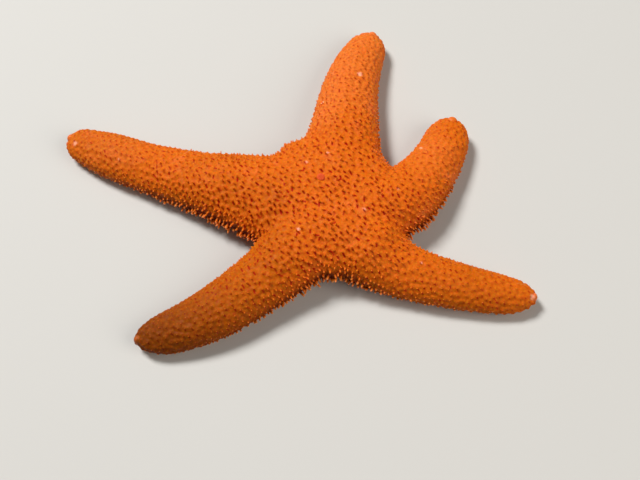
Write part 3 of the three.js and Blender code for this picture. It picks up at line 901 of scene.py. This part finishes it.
class Shading:
    """A material's node tree, with short calls to add to it, and its colour so far."""

    def __init__(self, name, colour=None):
        self.colour = colour
        self.material = bpy.data.materials.new(name)
        self.material.use_nodes = True
        self.tree = self.material.node_tree
        self.shader = self.tree.nodes["Principled BSDF"]

    def add(self, kind, inputs=None, **settings):
        node = self.tree.nodes.new("ShaderNode" + kind)
        for key, value in settings.items():
            setattr(node, key, value)
        for key, value in (inputs or {}).items():
            self.put(node.inputs[key], value)
        return node

    def put(self, socket, value):
        """Links or sets a socket, which None leaves as it is."""
        if isinstance(value, bpy.types.NodeSocket):
            self.tree.links.new(value, socket)
        elif value is not None:
            socket.default_value = value

    def place(self):
        return self.add("TexCoord").outputs["Object"]

    def noise(self, scale, detail=2.0):
        inputs = {"Vector": self.place(), "Scale": scale, "Detail": detail, "Roughness": 0.5}
        return self.add("TexNoise", inputs).outputs["Fac"]

    def cells(self, scale):
        """The distance from the middle of the nearest cell."""
        return self.add("TexVoronoi", {"Vector": self.place(), "Scale": scale}).outputs["Distance"]

    def number(self, name):
        return self.add("Attribute", attribute_name=name).outputs["Fac"]

    def ramp(self, value, low, high, to_low=0.0, to_high=1.0):
        inputs = {"Value": value, "From Min": low, "From Max": high, "To Min": to_low, "To Max": to_high}
        return self.add("MapRange", inputs, interpolation_type="SMOOTHSTEP").outputs["Result"]

    def mixed(self, share, a, b, blend="MIX"):
        node = self.add("Mix", data_type="RGBA", blend_type=blend)
        self.put(node.inputs["Factor"], share)
        self.put(node.inputs[6], a)
        self.put(node.inputs[7], b)
        return node.outputs[2]

    def lay(self, over, share, blend="MIX"):
        """Lays a share of a colour over the material's own."""
        self.colour = self.mixed(share, self.colour, over, blend)

    def fine_clouds(self, scale, to_low=0.0, to_high=1.0):
        return self.ramp(self.noise(scale, 3), 0.35, 0.7, to_low, to_high)

    def math(self, operation, a, b=0.5):
        node = self.add("Math", operation=operation)
        self.put(node.inputs[0], a)
        self.put(node.inputs[1], b)
        return node.outputs["Value"]

    def times(self, a, b):
        return self.math("MULTIPLY", a, b)

    def roughness(self, scale, low, high):
        return self.ramp(self.noise(scale), 0.3, 0.7, low, high)

    def bump(self, height, distance, strength, under=None):
        """A normal, raised over the one under it."""
        inputs = {"Height": height, "Distance": distance, "Strength": strength, "Normal": under}
        return self.add("Bump", inputs).outputs["Normal"]

    def finish(self, roughness, normal=None, gloss=None, flesh=(None, None, None)):
        """The finished material. Flesh is the weight, depth and colour of the light under its surface."""
        names = "Base Color", "Roughness", "Normal", "Specular IOR Level"
        names += "Subsurface Weight", "Subsurface Scale", "Subsurface Radius"
        for name, value in zip(names, (self.colour, roughness, normal, gloss, *flesh)):
            self.put(self.shader.inputs[name], value)
        return self.material


def srgb(*shown):
    """A colour given as 0 to 255 values on screen, in linear light."""
    v = np.array(shown) / 255
    return (*np.where(v <= 0.04045, v / 12.92, ((v + 0.055) / 1.055) ** 2.4).tolist(), 1.0)


ORANGE = srgb(216, 105, 14)
BROWN_ORANGE = srgb(193, 95, 4)
RED_ORANGE = srgb(226, 117, 40)
# the colour of the painted falloff shade
FALLOFF_SHADE = srgb(116, 53, 0)
DEEP = srgb(170, 22, 0)
DARK = srgb(72, 12, 0)
LIGHT = srgb(238, 126, 30)
PALE = srgb(242, 156, 96)
PINK = srgb(238, 120, 60)
SPECK = srgb(250, 178, 146)
FURROW_SHADE = (0.72, 0.6, 0.5, 1.0)
BELLY = srgb(234, 140, 62)


def body_colour(sh):
    """Gives a material the colours and the painted light that skin, spines and end plates share. Returns the
    share of painted falloff shade.

    Lighter and redder to the back and darker and browner to the front as painted falloff of the light,
    browner at the left end as painted shade, and darkest at the left front as painted falloff shade, in soft
    clouds.
    """
    place = sh.add("SeparateXYZ", {"Vector": sh.place()})
    x, y = place.outputs["X"], place.outputs["Y"]
    shifted = sh.math("ADD", y, sh.ramp(sh.noise(28, 3), 0.3, 0.7, -0.03, 0.03))
    # Painted falloff shade, strongest towards the left front arm's end.
    falloff_shade = sh.ramp(sh.math("SUBTRACT", sh.times(x, -0.7), y), 0.05, 0.12, 0, 0.94)
    # Painted falloff of the light: browner and darker to the front, redder and lighter to the back.
    sh.colour = sh.mixed(sh.ramp(shifted, -0.065, 0), BROWN_ORANGE, ORANGE)
    sh.lay(RED_ORANGE, sh.ramp(shifted, 0, 0.08))
    sh.lay(PINK, sh.times(sh.ramp(sh.noise(120, 4), 0.56, 0.72, 0, 0.45), sh.ramp(shifted, -0.04, 0.02)))
    # Painted shade: browner towards the left end.
    sh.lay(BROWN_ORANGE, sh.ramp(x, -0.05, -0.085, 0, 0.55))
    sh.lay(FALLOFF_SHADE, falloff_shade)
    sh.lay(SPECK, sh.times(sh.number("speck"), 0.85))
    return falloff_shade


def skin_material():
    """Granules with painted highlights on their tops and painted shade in the furrows, and over them painted
    spine shadows, painted shade in the gaps of the front flanks, fine grain and a pale belly.
    """
    sh = Shading("skin")
    falloff_shade = body_colour(sh)
    deep = sh.mixed(falloff_shade, DEEP, DARK)
    granules = sh.cells(720)
    # Painted highlight on the granules' tops, and below it painted shade in the furrows between them.
    sh.lay(sh.mixed(falloff_shade, LIGHT, BROWN_ORANGE), sh.ramp(granules, 0.4, 0.1, 0, 0.2))
    sh.lay(FURROW_SHADE, sh.ramp(granules, 0.52, 0.82, 0, 0.5), "MULTIPLY")
    # Painted shadow of each spine, drawn out along the skin about the way the key light's shadows fall.
    sh.lay(deep, sh.times(sh.ramp(sh.number("painted_shadow"), 0.54, 0.24, 0, 0.94), sh.number("strength")))
    sh.lay(DARK, sh.times(sh.number("shade"), 0.9))
    sh.lay(deep, sh.ramp(sh.noise(900), 0.5, 0.72, 0, 0.3))
    sh.lay(BELLY, sh.times(sh.number("belly"), 0.55))
    normal = sh.bump(sh.cells(2200), 0.00008, 0.5)
    normal = sh.bump(sh.ramp(granules, 0.75, 0.15), 0.0002, 0.6, normal)
    normal = sh.bump(sh.noise(700, 3), 0.0003, 0.5, normal)
    return sh.finish(sh.roughness(300, 0.5, 0.72), normal, 0.08, (0.5, 0.0012, (1.0, 0.2, 0.04)))


def spine_material():
    """Painted shade at the feet and light tips, each spine in its own tone, and the palest tips low on the
    flanks, with painted shade on their lower parts.
    """
    sh = Shading("spines")
    falloff_shade = body_colour(sh)
    height, tone, pale = sh.number("height"), sh.number("tone"), sh.number("pale")
    sh.lay(sh.mixed(falloff_shade, LIGHT, BROWN_ORANGE), sh.ramp(height, 0.1, 0.6, 0, 0.45))
    # Painted shade at each spine's foot.
    sh.lay(sh.mixed(falloff_shade, DEEP, DARK), sh.ramp(height, 0.05, 0.3, 0.8, 0))
    sh.lay(PINK, sh.ramp(tone, 0, 2.5, 0, 0.35))
    sh.lay(BROWN_ORANGE, sh.ramp(tone, 0, -2.5, 0, 0.35))
    # Painted shade on the lower part of the pale-tipped spines low on the flanks.
    sh.lay(DARK, sh.times(sh.ramp(height, 0.1, 0.5, 0.75, 0), pale))
    sh.lay(PALE, sh.times(sh.ramp(height, 0.55, 1.0), pale))
    normal = sh.bump(sh.noise(3000), 0.00006, 0.6)
    return sh.finish(sh.roughness(900, 0.45, 0.65), normal, 0.1, (0.3, 0.0008, (1.0, 0.25, 0.06)))


def foot_material():
    """Ringed stalks in tones of their own, with a plain sucker."""
    sh = Shading("tube_feet", srgb(232, 176, 112))
    height = sh.number("height")
    sh.lay(srgb(242, 204, 150), sh.ramp(sh.number("tone"), -2.0, 2.0))
    sh.lay(srgb(240, 202, 150), sh.ramp(height, 0.84, 0.95))
    normal = sh.bump(sh.math("SINE", sh.times(height, 70.0)), 0.00006, 0.5)
    return sh.finish(sh.roughness(1500, 0.25, 0.4), normal, flesh=(0.7, 0.0015, (1.0, 0.6, 0.35)))


def mouth_material():
    sh = Shading("mouth", srgb(228, 140, 70))
    sh.lay(srgb(240, 176, 116), sh.fine_clouds(900))
    soft = sh.mixed(sh.fine_clouds(700), srgb(222, 168, 118), srgb(238, 196, 150))
    sh.lay(soft, sh.number("kind"))
    normal = sh.bump(sh.noise(2500), 0.0001, 0.6)
    return sh.finish(sh.roughness(1200, 0.35, 0.55), normal, flesh=(0.4, 0.001, (1.0, 0.45, 0.2)))


def sieve_material():
    sh = Shading("madreporite", srgb(196, 60, 20))
    # Painted shade in the furrows and painted highlight on the ridges.
    sh.lay(srgb(236, 100, 46), sh.ramp(sh.number("kind"), -0.7, 0.7))
    sh.lay(srgb(240, 128, 70), sh.ramp(sh.noise(1800), 0.5, 0.75, 0, 0.4))
    normal = sh.bump(sh.noise(4000), 0.00005, 0.6)
    return sh.finish(sh.roughness(2000, 0.6, 0.8), normal, 0.2, (0.2, 0.0006, (1.0, 0.3, 0.1)))


def tip_material():
    """The body's colours and painted falloff shade, smoother and pinker, with a pale last foot and a red
    eyespot.
    """
    sh = Shading("arm_ends")
    kind, falloff_shade = sh.number("kind"), body_colour(sh)
    sh.lay(sh.mixed(falloff_shade, PINK, BROWN_ORANGE), sh.fine_clouds(800, 0.1, 0.7))
    sh.lay(srgb(240, 170, 110), sh.ramp(kind, 0.2, 0.8))
    sh.lay(srgb(128, 6, 10), sh.ramp(kind, 1.3, 1.7))
    normal = sh.bump(sh.cells(1900), 0.00012, 0.5)
    return sh.finish(sh.roughness(1200, 0.4, 0.6), normal, 0.25, (0.3, 0.0008, (1.0, 0.3, 0.1)))


# ---------- the animal

skin = Skin()
spine_pieces, *spine_places = build_spines(skin)
shape_skin(skin, *spine_places)
end_plates = [build_tip(arm) for arm in arms]
mark(skin, [skin.piece, *spine_pieces, *end_plates])
skin.piece.data.materials.append(skin_material())
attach(skin.piece, "root")
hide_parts("disc", *(f"arm_{arm.side}" for arm in arms))


def dress(piece, material, slot, *nodes):
    piece.data.materials.append(material)
    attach(piece, "root")
    if nodes:
        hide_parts(*nodes)


spiny, soft, capped = spine_material(), foot_material(), tip_material()
for piece in spine_pieces:
    dress(piece, spiny, "skin")
for arm, end_plate in zip(arms, end_plates):
    dress(groove_spines(arm), spiny, "skin")
    dress(tube_feet(arm), soft, "mouth")
    dress(end_plate, capped, "tip", f"tip_{arm.side}")
dress(build_mouth(), mouth_material(), "mouth", "mouth")
dress(build_madreporite(skin), sieve_material(), "madreporite", "madreporite")

# ---------- the studio

ELEVATION = 62
CAMERA_DISTANCE = 341.6
LENS = 45
SENSOR = 36
IMAGE_WIDTH = 640
LOOK_OFF = (14.5, 19.7)  # the disc's centre, right of and above the picture's middle
FLOOR_REACH = 2000


def build_camera():
    e = math.radians(ELEVATION)
    back = Vector((0, -math.cos(e), math.sin(e)))
    centre = Vector((*CENTRE, 0)) * MM
    camera = added("camera", bpy.data.cameras.new("camera"))
    camera.data.lens = LENS
    camera.data.sensor_width = SENSOR
    camera.location = centre + back * CAMERA_DISTANCE * MM
    # It is turned about its own axes, so that the animal isn't rolled.
    focal = LENS / SENSOR * IMAGE_WIDTH
    aside = Vector((0, 0, -1)).rotation_difference(Vector((-LOOK_OFF[0], -LOOK_OFF[1], -focal)))
    camera.rotation_euler = ((-back).to_track_quat("-Z", "Y") @ aside).to_euler()
    bpy.context.scene.camera = camera


def area_light(name, direction, distance, size, power, colour=(1, 1, 1)):
    """A square light at a distance from the centre, turned to it."""
    light = bpy.data.lights.new(name, "AREA")
    light.energy, light.size, light.color = power, size, colour
    made, away = added(name, light), Vector(direction).normalized()
    made.location = away * distance
    made.rotation_euler = away.to_track_quat("Z", "Y").to_euler()


def build_studio():
    corners = FLOOR_REACH * np.array([(-1, -1, 0), (1, -1, 0), (1, 1, 0), (-1, 1, 0)])
    floor = mesh_object("floor", corners, np.arange(4)[None])
    floor.data.materials.append(Shading("floor", srgb(201, 199, 194)).finish(0.8))
    area_light("key", (-0.45, 0.36, 0.8), distance=2.0, size=0.55, power=46.0)
    area_light("fill", (0.75, -0.34, 0.6), distance=1.3, size=0.9, power=8.0, colour=(1.0, 0.95, 0.88))
    world = bpy.data.worlds.new("world")
    world.use_nodes = True
    sky = world.node_tree.nodes["Background"].inputs
    sky["Color"].default_value, sky["Strength"].default_value = (1.0, 1.0, 1.0, 1.0), 0.1
    bpy.context.scene.world = world
    bpy.context.scene.view_settings.view_transform = "Standard"


build_camera()
build_studio()
